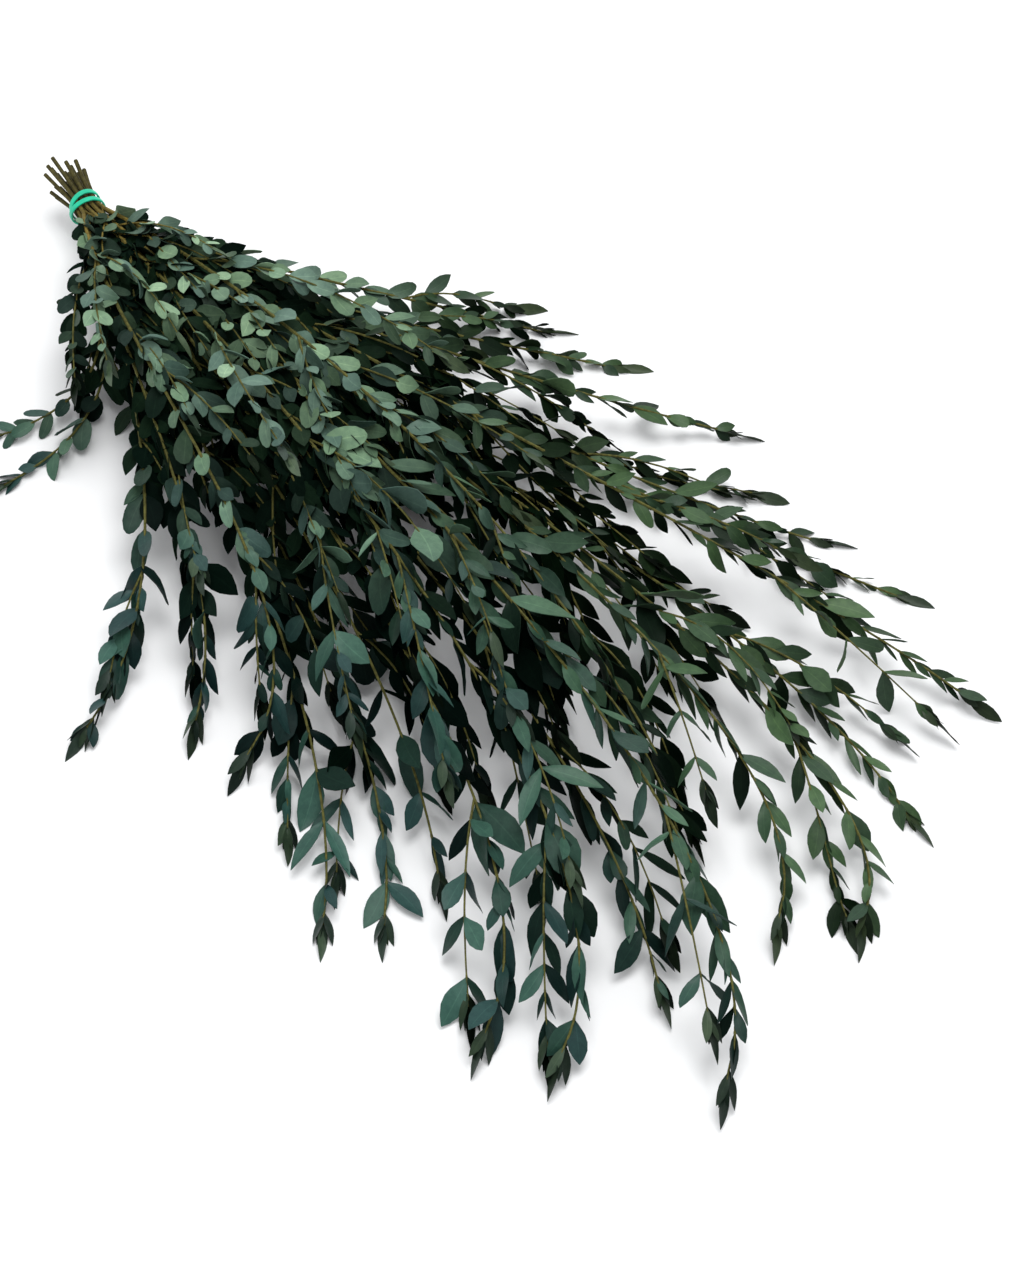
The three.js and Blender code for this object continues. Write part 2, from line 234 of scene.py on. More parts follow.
def stem_line(branch, slot, random, steps):
    """Cut end, straight through the tie, then an arch that comes down at the tip."""
    y, z, tip = slot
    heading, reach, lead, finish, crown = branch
    reach *= MM
    crown *= MM
    cut = CUT_LENGTH * (0.75 + 0.5 * random())
    end = ahead(heading, reach) - ahead(finish, END_LEAF)
    leave = ahead(lead, 0.42 * reach)
    turn = smooth(20, 90, abs(finish - lead))
    arrive = end - ahead(finish, mix(0.2 * reach, HOOK, turn))
    arch = cubic(
        (
            Vector((TIE_HALF_LENGTH, y, tie.z + z)),
            Vector((leave.x, leave.y + y, crown)),
            Vector((arrive.x, arrive.y, crown * 0.55)),
            Vector((end.x, end.y, tip)),
        ),
        steps,
    )
    start = Vector((-cut, y * CUT_SPLAY, tie.z + z * CUT_SPLAY))
    return [start, Vector((-TIE_HALF_LENGTH, y, tie.z + z)), *arch]


def shoot_draws(branch, random):
    """Where the side shoots of one branch leave it, how they point and how long they are."""
    reach = branch[1] * MM
    count = max(0, math.floor((reach - NO_SHOOTS) / SHOOT_SPACING))
    first = 1 if random() < 0.5 else -1
    draws = []
    for j in range(count):
        share = 0.16 + (0.74 * (j + 0.6 * random())) / count
        roll = first * (-1 if j % 2 else 1) * math.radians(mix(40, 105, random()))
        spread = math.radians(mix(*SHOOT_OPEN, random()))
        length = (0.36 - 0.22 * share) * mix(250 * MM, reach, 0.75) * mix(0.8, 1.15, random())
        sag = mix(0.08, 0.3, random())
        droop = DROOP * (1 - smooth(5, 22, branch[0]))
        draws.append((share, roll, spread, length, sag, droop))
    return draws


def shoot_line(start, tangent, draw, turn, steps):
    """A shoot leaves its stem at an angle, swings back towards the stem's own way, and sags."""
    _, roll, spread, length, sag, droop = draw
    side, above = across(tangent)
    out = side * math.sin(roll + turn) + above * math.cos(roll + turn)
    first = (tangent * math.cos(spread) + out * math.sin(spread)).normalized()
    hang = ahead(DROOP_HEADING, droop * smooth(150 * MM, 450 * MM, start.x))
    last = (first * 0.62 + tangent * 0.38 + hang).normalized()
    end = start + last * length - UP * (sag * length)
    line = quadratic((start, start + first * (length * 0.45), end), steps)
    for p in line[1:]:
        p.z = max(p.z, FLOOR)
    return line


slots = tie_slots()
print(len(slots), "stems in the tie")

# %% [markdown]
# In the solid model, a shoot or a leaf that met a neighbour was turned until it was clear, or was left
# out. What is dressed here has to lie the same way. So each possible way is worked out and looked up
# among the corners of the solid branch: the one whose corners are there is the way that was taken.

# %% Which of the possible ways the solid model took
TURNS = [math.radians(a) for a in (0, 25, -25, 50, -50, 75, -75)]  # of a shoot, round its stem
BENDS = [  # of a leaf: how far it is turned round its stem, and opened from it
    (math.radians(turn), math.radians(opened))
    for turn, opened in (
        (0, 0), (18, 0), (-18, 0), (0, 12), (0, -12), (36, 0), (-36, 0), (24, 14), (-24, 14),
        (24, -14), (-24, -14), (54, 0), (-54, 0), (72, 8), (-72, 8), (90, 0), (-90, 0),
    )
]
SOLID_SHOOT_RADII = (0.95, 0.65)  # at the stem and at the tip, in millimetres
MATCH = 0.06 * MM  # a corner this near to where it is looked for is the one


def corners_of(node):
    """The corners of a solid branch, measured from the ground under the tie, to search by place."""
    points = [v.co - ground_under_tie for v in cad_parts[node].data.vertices]
    tree = KDTree(len(points))
    for i, p in enumerate(points):
        tree.insert(p, i)
    tree.balance()
    return tree


def shoot_of(corners, start, tangent, draw):
    """The line of a shoot as the solid model bent it clear, or None where it left the shoot out."""
    for turn in TURNS:
        line = shoot_line(start, tangent, draw, turn, SHOOT_STEPS)
        hits = 0
        for k, p in enumerate(line[1:], 1):
            radius = mix(*SOLID_SHOOT_RADII, k / SHOOT_STEPS) * MM
            around = corners.find_range(p, radius + MATCH)
            hits += any(abs(far - radius) < MATCH for _, _, far in around)
        if hits >= 2:
            return line, turn
    return None


# %% [markdown]
# Leaves stand in pairs, each pair a quarter turn round from the one before. Near the tie they are
# small blunt ovals, close together. Further out they are long and narrow, three or four centimetres
# each. They point forwards along their stem, and their faces turn up to the light.

# %% Where the leaves stand
def leaf_draws(line, start, longest, random):
    """Pairs of leaves along a stem: place, size and lie of each."""
    total = length_of(line)
    draws = []
    turned = random() * math.pi
    at = start
    while at < total - 4 * MM:
        point, tangent = along(line, at)
        grown = smooth(*GROWN, point.x)
        near_end = mix(0.6, 1, smooth(0, 60 * MM, total - at))
        length = mix(SHORTEST_LEAF, longest, grown) * MM * near_end * mix(0.8, 1.2, random())
        width = length * mix(*LEAF_WIDTHS, grown) * mix(0.85, 1.15, random())
        roll = turned + random() * 0.5
        spread = math.radians(mix(*LEAF_OPEN, random()))
        lean = math.radians(mix(-45, 45, random()))
        arch = mix(0.02, 0.16, random())
        draws.append((at, point, tangent, length, width, roll, spread, lean, arch))
        turned += math.pi / 2
        at += length * mix(0.8, 1.05, random())
    return draws


def leaf_pose(draw, hand, bend, press):
    """The way a leaf points, and the way its upper face looks."""
    _, point, tangent, length, _, roll, spread, lean, arch = draw
    side, above = across(tangent)
    roll += (0 if hand > 0 else math.pi) + bend[0]
    spread += bend[1]
    out = (side * math.cos(roll) + above * (0.7 * math.sin(roll))).normalized()
    way = (tangent * math.cos(spread) + out * math.sin(spread)).normalized()
    drop = (point.z + press - 0.2 * MM) / length - arch
    if way.z < -drop:
        way.z = -drop
        way.normalize()
    face = (UP - way * way.z).normalized()
    face.rotate(Matrix.Rotation(lean * smooth(8 * MM, 30 * MM, point.z), 3, way))
    return way, face


def end_draw(line):
    """The leaf at the end of a stem, which goes on the way the stem does."""
    at = length_of(line) - 3 * MM
    point, tangent = along(line, at)
    return (at, point, tangent, END_LEAF + 5 * MM, 8 * MM, 0, 0, 0, 0.05)


def tip_of(draw, way, face):
    """Where the solid model has the tip of a leaf."""
    _, point, _, length, _, _, _, _, arch = draw
    return point + way * (length - 0.5 * MM) - face * (0.2 * MM + arch * length)


misses = []  # the draws whose leaf the solid model left out


def solid_pose(corners, draw, hand):
    """The pose of a leaf as the solid model bent it clear, or None where it left the leaf out."""
    for bend in BENDS:
        way, face = leaf_pose(draw, hand, bend, PRESS)
        tip = tip_of(draw, way, face)
        if tip.z > 0 and corners.find(tip)[2] < MATCH:
            return way, face
        shoulder = draw[1] + way * (0.7 * draw[3] - 0.5 * MM) - face * (draw[8] * draw[3] * 0.49)
        shoulder += face.cross(way) * (0.4 * draw[4])
        if shoulder.z > 0 and corners.find(shoulder)[2] < MATCH:
            return way, face
    misses.append(draw)
    return None


# %% [markdown]
# A finish for each thing. The leaves are the photograph's main colour: a sage green near the tie that
# turns to a dark blue green further out. Each leaf carries three numbers of its own: `tone`, so that no
# two are quite alike, `open_sky`, how much sky it sees, by which painted shade darkens the leaves deep
# inside the bunch, and `young`, because the last leaves of a twig are browner.
# Its UV map runs from stalk to tip, so that the midrib and side veins follow it.

# %% Helpers for materials
def material(name):
    made = bpy.data.materials.new(name)
    made.use_nodes = True
    tree = made.node_tree
    return made, tree, tree.nodes["Principled BSDF"]


def node(tree, kind, **values):
    """A node with its settings and, where the name is a socket's, its inputs."""
    made = tree.nodes.new(kind)
    for key, value in values.items():
        if hasattr(made, key):
            setattr(made, key, value)
        else:
            made.inputs[key].default_value = value
    return made


def math_node(tree, operation, a, b=None):
    made = tree.nodes.new("ShaderNodeMath")
    made.operation = operation
    for socket, value in zip(made.inputs, (a, b)):
        if value is None:
            continue
        if isinstance(value, (int, float)):
            socket.default_value = value
        else:
            tree.links.new(value, socket)
    return made.outputs[0]


def ramp(tree, fac, stops):
    made = tree.nodes.new("ShaderNodeValToRGB")
    elements = made.color_ramp.elements
    for i, (place, colour) in enumerate(stops):
        stop = elements[i] if i < 2 else elements.new(place)
        stop.position = place
        stop.color = (*colour, 1)
    tree.links.new(fac, made.inputs["Fac"])
    return made.outputs["Color"]


def blend(tree, kind, fac, a, b):
    made = tree.nodes.new("ShaderNodeMix")
    made.data_type = "RGBA"
    made.blend_type = kind
    for socket, value in zip((made.inputs[0], made.inputs[6], made.inputs[7]), (fac, a, b)):
        if isinstance(value, (int, float)):
            socket.default_value = value
        elif isinstance(value, tuple):
            socket.default_value = (*value, 1)
        else:
            tree.links.new(value, socket)
    return made.outputs[2]


def place_between(tree, axis, low, high):
    """How far a point lies along an axis, from 0 at the low place to 1 at the high one."""
    place = tree.nodes.new("ShaderNodeTexCoord")
    parts = tree.nodes.new("ShaderNodeSeparateXYZ")
    tree.links.new(place.outputs["Object"], parts.inputs[0])
    made = node(tree, "ShaderNodeMapRange", interpolation_type="SMOOTHSTEP")
    made.inputs["From Min"].default_value = low
    made.inputs["From Max"].default_value = high
    tree.links.new(parts.outputs[axis], made.inputs["Value"])
    return made.outputs["Result"]


PALEST = tie + Vector((120 * MM, 20 * MM, 0))  # the middle of the ridge where the leaves are palest
RIDGE = Vector((0.45, 1, 0))  # lengths along the ridge count less than lengths across it


def off_the_ridge(tree, low, high):
    """How far a point lies off the ridge, from 0 at the low distance to 1 at the high one."""
    place = tree.nodes.new("ShaderNodeTexCoord")
    narrowed = node(tree, "ShaderNodeVectorMath", operation="MULTIPLY")
    apart = node(tree, "ShaderNodeVectorMath", operation="DISTANCE")
    tree.links.new(place.outputs["Object"], narrowed.inputs[0])
    narrowed.inputs[1].default_value = RIDGE
    tree.links.new(narrowed.outputs["Vector"], apart.inputs[0])
    apart.inputs[1].default_value = [p * r for p, r in zip(PALEST, RIDGE)]
    made = node(tree, "ShaderNodeMapRange", interpolation_type="SMOOTHSTEP")
    made.inputs["From Min"].default_value = low
    made.inputs["From Max"].default_value = high
    tree.links.new(apart.outputs["Value"], made.inputs["Value"])
    return made.outputs["Result"]


def noise(tree, scale, detail=2.0):
    place = tree.nodes.new("ShaderNodeTexCoord")
    made = node(tree, "ShaderNodeTexNoise")
    made.inputs["Scale"].default_value = scale
    made.inputs["Detail"].default_value = detail
    tree.links.new(place.outputs["Object"], made.inputs["Vector"])
    return made.outputs["Fac"]


# %% Leaf finish
SAGE = (0.205, 0.315, 0.215)
TEAL = (0.028, 0.076, 0.064)
MOSS = (0.046, 0.088, 0.040)
YOUNG = (0.034, 0.044, 0.022)  # the last leaves of a twig
# Painted shade: the colour that leaves deep inside the bunch are darkened to.
DEEP_PAINTED_SHADE = (0.04, 0.06, 0.05)  # what is left of the colour deep inside the bunch
TONES = ((0, (0.42, 0.5, 0.58)), (1, (1.42, 1.4, 1.3)), (0.35, (0.76, 0.8, 0.88)), (0.7, (0.96, 1.02, 0.86)))
MIDRIB = 0.025  # half of its width, in the leaf's own width
SIDE_VEINS = 62.0  # radians of a wave from stalk to tip, so about ten of them
VEIN_PALER = (1.7, 1.6, 1.5)


def leaf_finish(name, painted_shade_factor, roughness):
    made, tree, shader = material(name)
    tone = node(tree, "ShaderNodeAttribute", attribute_name="tone").outputs["Fac"]
    far_colour = ramp(tree, place_between(tree, "Y", -0.1, 0.12), ((0, TEAL), (1, MOSS)))
    base = blend(tree, "MIX", off_the_ridge(tree, 0.02, 0.155), SAGE, far_colour)
    young = node(tree, "ShaderNodeAttribute", attribute_name="young").outputs["Fac"]
    base = blend(tree, "MIX", math_node(tree, "MULTIPLY", young, 0.7), base, YOUNG)
    varied = ramp(tree, tone, TONES)
    base = blend(tree, "MULTIPLY", 1.0, base, varied)
    # Painted shade: the less sky a leaf sees, the darker its colour is painted.
    open_sky = node(tree, "ShaderNodeAttribute", attribute_name="open_sky").outputs["Fac"]
    base = blend(tree, "MULTIPLY", 1.0, base, ramp(tree, open_sky, ((0.08, DEEP_PAINTED_SHADE), (0.86, (1, 1, 1)))))
    mottled = ramp(tree, noise(tree, 260.0, 3.0), ((0.3, (0.82, 0.84, 0.86)), (0.7, (1.14, 1.12, 1.1))))
    base = blend(tree, "MULTIPLY", 1.0, base, mottled)
    leaf_map = tree.nodes.new("ShaderNodeUVMap")
    leaf_map.uv_map = "UVMap"
    parts = tree.nodes.new("ShaderNodeSeparateXYZ")
    tree.links.new(leaf_map.outputs["UV"], parts.inputs[0])
    off_middle = math_node(tree, "ABSOLUTE", math_node(tree, "SUBTRACT", parts.outputs["Y"], 0.5))
    midrib = math_node(tree, "LESS_THAN", off_middle, MIDRIB)
    slanted = math_node(tree, "SUBTRACT", parts.outputs["X"], math_node(tree, "MULTIPLY", off_middle, 0.55))
    wave = math_node(tree, "SINE", math_node(tree, "MULTIPLY", slanted, SIDE_VEINS))
    side_vein = math_node(tree, "GREATER_THAN", wave, 0.93)
    veins = math_node(tree, "MAXIMUM", midrib, math_node(tree, "MULTIPLY", side_vein, 0.25))
    vein_colour = blend(tree, "MULTIPLY", 1.0, base, VEIN_PALER)
    base = blend(tree, "MIX", math_node(tree, "MULTIPLY", veins, 0.5), base, vein_colour)
    # Painted shade: the colour is multiplied by this factor, which is 0.8 on the undersides.
    base = blend(tree, "MULTIPLY", 1.0, base, (painted_shade_factor, painted_shade_factor, painted_shade_factor))
    tree.links.new(base, shader.inputs["Base Color"])
    shader.inputs["Roughness"].default_value = roughness
    # Painted shade also dims the shine of leaves that see little sky.
    shaded_sheen = math_node(tree, "MULTIPLY", open_sky, 0.24)
    tree.links.new(shaded_sheen, shader.inputs["Specular IOR Level"])
    bump = node(tree, "ShaderNodeBump", Strength=0.35, Distance=0.0004)
    tree.links.new(noise(tree, 900.0), bump.inputs["Height"])
    tree.links.new(bump.outputs["Normal"], shader.inputs["Normal"])
    return made


# The underside's colour is painted 0.8 as bright as the upper face's: painted shade on the faces that look
# down.
leaf_upper = leaf_finish("leaf_upper", 1.0, 0.45)
leaf_under = leaf_finish("leaf_under", 0.8, 0.7)
print("leaf finishes:", leaf_upper.name, leaf_under.name)

# %% [markdown]
# The stems are brown at their cut ends, and through the band, where the brown is partly painted shade
# between the band's turns; golden just past the band and olive further out, with fine streaks of
# bark. As they are thin, a colour ramp along the bunch and a fine noise are enough. The band is an even
# green rubber with a soft shine.

# %% Stem and band finishes
# The cut ends' own brown, which runs on through the band as painted shade between its turns.
CUT_BROWN_AND_SHADE = (0.060, 0.054, 0.015)
GOLDEN = (0.210, 0.160, 0.036)
OLIVE = (0.092, 0.092, 0.024)
BAND_GREEN = (0.0, 0.47, 0.27)


def stem_finish():
    made, tree, shader = material("stem_bark")
    along_bunch = place_between(tree, "X", tie.x - 0.02, tie.x + 0.12)
    # Brown up to the band, partly painted shade between its turns, golden just past it and olive further
    # out.
    base = ramp(tree, along_bunch, ((0, CUT_BROWN_AND_SHADE), (1, OLIVE), (0.3, GOLDEN)))
    streaks = ramp(tree, noise(tree, 420.0, 4.0), ((0.3, (0.5, 0.48, 0.44)), (0.7, (1.3, 1.25, 1.2))))
    base = blend(tree, "MULTIPLY", 1.0, base, streaks)
    tree.links.new(base, shader.inputs["Base Color"])
    shader.inputs["Roughness"].default_value = 0.7
    shader.inputs["Specular IOR Level"].default_value = 0.15
    bump = node(tree, "ShaderNodeBump", Strength=0.5, Distance=0.0003)
    tree.links.new(noise(tree, 1200.0), bump.inputs["Height"])
    tree.links.new(bump.outputs["Normal"], shader.inputs["Normal"])
    return made


def band_finish():
    made, tree, shader = material("band_rubber")
    shade = ramp(tree, noise(tree, 180.0), ((0.3, (0.85, 0.85, 0.85)), (0.7, (1.1, 1.1, 1.1))))
    base = blend(tree, "MULTIPLY", 1.0, BAND_GREEN, shade)
    tree.links.new(base, shader.inputs["Base Color"])
    shader.inputs["Roughness"].default_value = 0.42
    bump = node(tree, "ShaderNodeBump", Strength=0.2, Distance=0.0003)
    tree.links.new(noise(tree, 700.0), bump.inputs["Height"])
    tree.links.new(bump.outputs["Normal"], shader.inputs["Normal"])
    return made


stem_bark = stem_finish()
band_rubber = band_finish()
print("other finishes:", stem_bark.name, band_rubber.name)

# %% [markdown]
# A few leaves are modelled and copied. Each starts as a flat grid, one unit long: each cross
# row is drawn in to the leaf's outline, turned a little further than the one before, moved to its place
# and lowered along the arch, and the midrib is pressed in. The grid's own UV map stays as it was, so it
# still runs evenly from stalk to tip.

# %% Leaf patterns
LEAF_ROWS = 7
OVAL = (  # for each row: how far along the leaf it is, and its share of the full width
    (0, 0.08), (0.05, 0.28), (0.17, 0.76), (0.36, 0.99), (0.56, 1), (0.77, 0.87), (0.94, 0.52), (1, 0.14),
)
LONG = (
    (0, 0.07), (0.06, 0.17), (0.19, 0.58), (0.36, 0.93), (0.52, 1), (0.7, 0.83), (0.87, 0.44), (1, 0.03),
)
BLADE = 0.014  # thickness, in the leaf's own length
FAR_OFF = 20  # each finished row is set aside this far, so that no later row is taken for it


def select_only(chosen):
    """In edit mode: selects the vertices that a test picks."""
    bpy.ops.mesh.select_all(action="DESELECT")
    bpy.ops.object.mode_set(mode="OBJECT")
    for v in bpy.context.object.data.vertices:
        v.select = chosen(v.co)
    bpy.ops.object.mode_set(mode="EDIT")


def leaf_pattern(name, rows, arch, fold, sweep, twist):
    """A closed leaf one unit long along +X and one wide, its upper face towards +Z."""
    bpy.ops.object.select_all(action="DESELECT")
    bpy.ops.mesh.primitive_grid_add(x_subdivisions=LEAF_ROWS, y_subdivisions=2, size=1)
    leaf = bpy.context.object
    leaf.name = name
    bpy.ops.object.mode_set(mode="EDIT")
    bpy.ops.mesh.select_mode(type="VERT")
    for i, (t, share) in enumerate(rows):
        x = i / LEAF_ROWS - 0.5
        select_only(lambda co: abs(co.x - x) < 1e-3)
        bpy.ops.transform.resize(value=(1, share, 1))
        bpy.ops.transform.rotate(value=twist * t, orient_axis="X")
        shift = (FAR_OFF + t - x, sweep * math.sin(math.pi * t), -arch * t * t)
        bpy.ops.transform.translate(value=shift)
    bpy.ops.mesh.select_all(action="SELECT")
    bpy.ops.transform.translate(value=(-FAR_OFF, 0, 0))
    select_only(lambda co: abs(co.y - sweep * math.sin(math.pi * co.x)) < 1e-3 and 0.01 < co.x < 0.99)
    bpy.ops.transform.translate(value=(0, 0, -fold))
    bpy.ops.object.mode_set(mode="OBJECT")
    leaf.data.materials.append(leaf_upper)
    leaf.data.materials.append(leaf_under)
    shell = leaf.modifiers.new("thickness", "SOLIDIFY")
    shell.thickness = BLADE
    shell.offset = -1
    shell.material_offset = 1
    bpy.ops.object.modifier_apply(modifier=shell.name)
    bpy.ops.object.shade_smooth_by_angle(angle=math.radians(50))
    for attribute in ("tone", "open_sky", "young"):
        leaf.data.attributes.new(attribute, "FLOAT", "POINT")
    bpy.context.scene.collection.objects.unlink(leaf)
    return leaf


ARCHES = (0.03, 0.09, 0.15)  # how far the tip hangs, in the leaf's own length
TWISTS = (0.4, 0.1, 0.65)  # radians between the root and the tip, one for each arch
SWEEP = 0.09  # how far the middle bends to one side, in the leaf's own width
patterns = {}
for shape, rows, fold in (("oval", OVAL, 0.05), ("long", LONG, 0.035)):
    for i, arch in enumerate(ARCHES):
        for hand in (-1, 1):
            name = f"{shape}_{i}_{hand}"
            patterns[shape, i, hand] = leaf_pattern(name, rows, arch, fold, SWEEP * hand, TWISTS[i] * hand)
print(len(patterns), "leaf patterns of", len(patterns["oval", 0, 1].data.polygons), "faces")

# %% [markdown]
# Hardly any sky is seen from deep inside the bunch, and the real leaves there look nearly black. This
# bunch has fewer leaves than the real one, so the lamp alone would leave its inner ones too pale. Each
# leaf therefore counts the leaves close above it, and its finish is darkened by that count.

# %% How open each leaf lies
OPEN_REACH = 24 * MM
OPEN_COUNT = 2.7  # leaves above it that make a leaf about a third as open


class Leaf:
    """One leaf to make: its root, the way it points, the way it faces, its size and its kind."""

    def __init__(self, root, way, face, length, width, arch, young=False):
        self.root = root
        self.way = way
        self.face = face
        self.length = length
        self.width = width
        self.arch = arch
        self.young = young  # the small narrow leaves at the end of a twig
        self.middle = root + way * (length / 2)
        self.open_sky = 1.0


def shade_leaves(leaves):
    """The more leaves lie close above a leaf, the less of the sky it sees."""
    tree = KDTree(len(leaves))
    for i, leaf in enumerate(leaves):
        tree.insert(leaf.middle, i)
    tree.balance()
    for leaf in leaves:
        above = 0
        for place, _, far in tree.find_range(leaf.middle + UP * (OPEN_REACH * 0.7), OPEN_REACH):
            if place.z > leaf.middle.z + 2 * MM:
                above += 1 - 0.5 * far / OPEN_REACH
        leaf.open_sky = math.exp(-above / OPEN_COUNT)


# %% [markdown]
# Each leaf is a copy of a pattern with a mesh of its own, scaled and turned by one matrix. Its place goes
# into the mesh and not into the object, so that the leaves of a branch can be joined as they are. A leaf
# that would dip into the table is lifted to lie flat on it, as the real ones do.

# %% Put a copy of a leaf in place
TABLE_GAP = 0.1 * MM
LONG_SHARE = (0.3, 0.95)  # how many of the leaves are long ones, next to the tie and far out
OVAL_TO_LONG = (60 * MM, 480 * MM)  # from the tie, where the one gives way to the other


def rest_on_table(mesh):
    """Where a leaf would dip into the table, both its faces are lifted together to lie on it."""
    places = np.empty(len(mesh.vertices) * 3, np.float32)
    mesh.vertices.foreach_get("co", places)
    faces = places.reshape(2, -1, 3)  # the upper face's corners come first, then the lower one's
    lift = np.maximum(TABLE_GAP - faces[:, :, 2].min(axis=0), 0)
    faces[:, :, 2] += lift
    mesh.vertices.foreach_set("co", places)


def put_leaf(spec, chance):
    """Copies a pattern, and gives the copy its place and its three numbers."""
    grown = smooth(*OVAL_TO_LONG, spec.root.x - tie.x)
    shape = "long" if chance() < mix(*LONG_SHARE, grown) or spec.young else "oval"
    nearest = min(range(len(ARCHES)), key=lambda i: abs(ARCHES[i] - spec.arch))
    pattern = patterns[shape, nearest, 1 if chance() < 0.5 else -1]
    leaf = bpy.data.objects.new("leaf", pattern.data.copy())
    side = spec.face.cross(spec.way)
    turn = Matrix((spec.way * spec.length, side * spec.width, spec.face * spec.length))
    leaf.data.transform(Matrix.Translation(spec.root) @ turn.transposed().to_4x4())
    rest_on_table(leaf.data)
    for name, value in (("tone", chance()), ("open_sky", spec.open_sky), ("young", spec.young)):
        values = np.full(len(leaf.data.vertices), value, np.float32)
        leaf.data.attributes[name].data.foreach_set("value", values)
    bpy.context.scene.collection.objects.link(leaf)
    return leaf


# %% [markdown]
# A stem is drawn as a poly curve with a round bevel, thinner towards its tip. On the real twigs each pair
# of leaves grows from a slight swelling, which is one wider point of the curve here.

# %% One stem
STEM_RADII = (1.35, 0.6)  # at the cut end and at the tip, in millimetres, as the bevel is one deep
SHOOT_RADII = (0.7, 0.42)  # the tips are finer than the solid ones, which have to be sturdy
TAPER = 0.7  # under 1, a stem thins most near its start
STEP = 12 * MM  # between the curve's points
SWELLING = 1.28
SWELLING_REACH = 1.2 * MM


class Twig:
    """A stem or a shoot: the line its solid one follows, and the smooth one it has here."""

    def __init__(self, line, fine, radii, start, longest, seed):
        self.line = line
        self.fine = fine
        self.radii = radii
        self.start = start
        self.longest = longest
        self.seed = seed
        self.solid = line is not fine  # whether the solid model has it too
        self.stretch = length_of(fine) / length_of(line)


def add_twig(curve, twig, joints):
    """Adds a stem to a branch's curve, with a slight swelling at each pair of leaves."""
    total = length_of(twig.fine)
    places = {0.0: 1.0, total: 1.0}
    for i in range(1, int(total / STEP)):
        places[i * STEP] = 1.0
    for at in joints:
        places[max(0, at - SWELLING_REACH)] = 1.0
        places[at] = SWELLING
        places[min(total - 1e-5, at + SWELLING_REACH)] = 1.0
    ordered = sorted(places)
    spline = curve.splines.new("POLY")
    spline.points.add(len(ordered) - 1)
    for point, at in zip(spline.points, ordered):
        place, _ = along(twig.fine, at)
        point.co = (*(place + ground_under_tie), 1)
        point.radius = mix(*twig.radii, (at / total) ** TAPER) * places[at]


# %% [markdown]
# The solid model carries only some of the leaves. The real twigs have a leaf on both sides of every
# joint, small young ones round the tip, and more pairs in between where the fan is wide. Those are added
# here, by the same draws and with more chance in how they lie, as real leaves vary more than solid ones.

# %% Leaves that only the dressed bunch has
YOUNG_PAIRS = (  # how far back from the tip in millimetres, size, turn in radians, opening in degrees
    (1, 0.36, 0.6, 12),
    (7, 0.55, 2.2, 19),
)
YOUNG_WIDTH = 0.22
YOUNG_LEAN = 0.3
YOUNG_ARCH = 0.06
END_WIDTH = 0.62  # how much of its width the last leaf of a twig keeps


def end_cluster(twig):
    """The two small pairs of young leaves that stand round the last leaf of a twig."""
    total = length_of(twig.line)
    draws = []
    for back, size, roll, opening in YOUNG_PAIRS:
        at = total - back * MM
        point, tangent = along(twig.line, at)
        length = twig.longest * size * MM
        lie = (roll, math.radians(opening), YOUNG_LEAN, YOUNG_ARCH)
        draws.append((at, point, tangent, length, length * YOUNG_WIDTH, *lie))
    return draws


EXTRA_LEAN = 32  # degrees more that such a leaf may be tipped to a side
SWING = 15  # degrees that it may be swung to a side
SLIM = (0.5, 0.86)  # how much of its width it keeps
CLOSE = (0.2, 1.1)  # and, far from the tie, how much of its angle to the stem, twig by twig
NEAR_CLOSER = 0.3  # next to the tie it loses this much of that angle
SIZE = (1.24, 0.8)  # how much of its length it keeps, next to the tie and far out
ASIDE = (70 * MM, 150 * MM)  # on the near side of the bunch, where leaves are longer and narrower
ASIDE_LONGER = 1.2
ASIDE_NARROWER = 0.75
SHARED_WIDTH = 0.92  # the share of its width that a pair keeps where the solid model has one of the two
OPEN_HABIT = 0.75  # a twig more open than this has no leaves in between
BETWEEN = (160 * MM, 420 * MM)  # from the tie, where pairs in between begin and where all are there
NEAR_TO_FAR = (100 * MM, 400 * MM)  # where the habits next to the tie give way to those far out


def pairs_between(twig, draws, chance):
    """Smaller pairs of leaves halfway between the others, the more of them the further out."""
    found = []
    for a, b in zip(draws, draws[1:]):
        at = (a[0] + b[0]) / 2
        point, tangent = along(twig.line, at)
        length = a[3] * mix(0.6, 0.9, chance())
        if chance() < smooth(*BETWEEN, point.x):
            found.append((at, point, tangent, length, a[4] * length / a[3], a[5] + 0.9, *a[6:]))
    return found


# %% All leaves of one stem
ROOT_DEPTH = 0.5 * MM
FIRST_LEAF = TIE_HALF_LENGTH + CUT_LENGTH + 18 * MM  # from the cut end


def free_pose(draw, hand, closer, chance):
    """The pose of a leaf that the solid model doesn't have, swung and tipped by chance."""
    way, face = leaf_pose(draw, hand, (0, -closer), 0)
    swing = Matrix.Rotation(math.radians(mix(-SWING, SWING, chance())), 3, "Z")
    way.rotate(swing)
    face.rotate(swing)
    lean = math.radians(mix(-EXTRA_LEAN, EXTRA_LEAN, chance()))
    lean *= smooth(4 * MM, 12 * MM, draw[1].z)  # a leaf near the table can't tip far
    face.rotate(Matrix.Rotation(lean, 3, way))
    return way, face


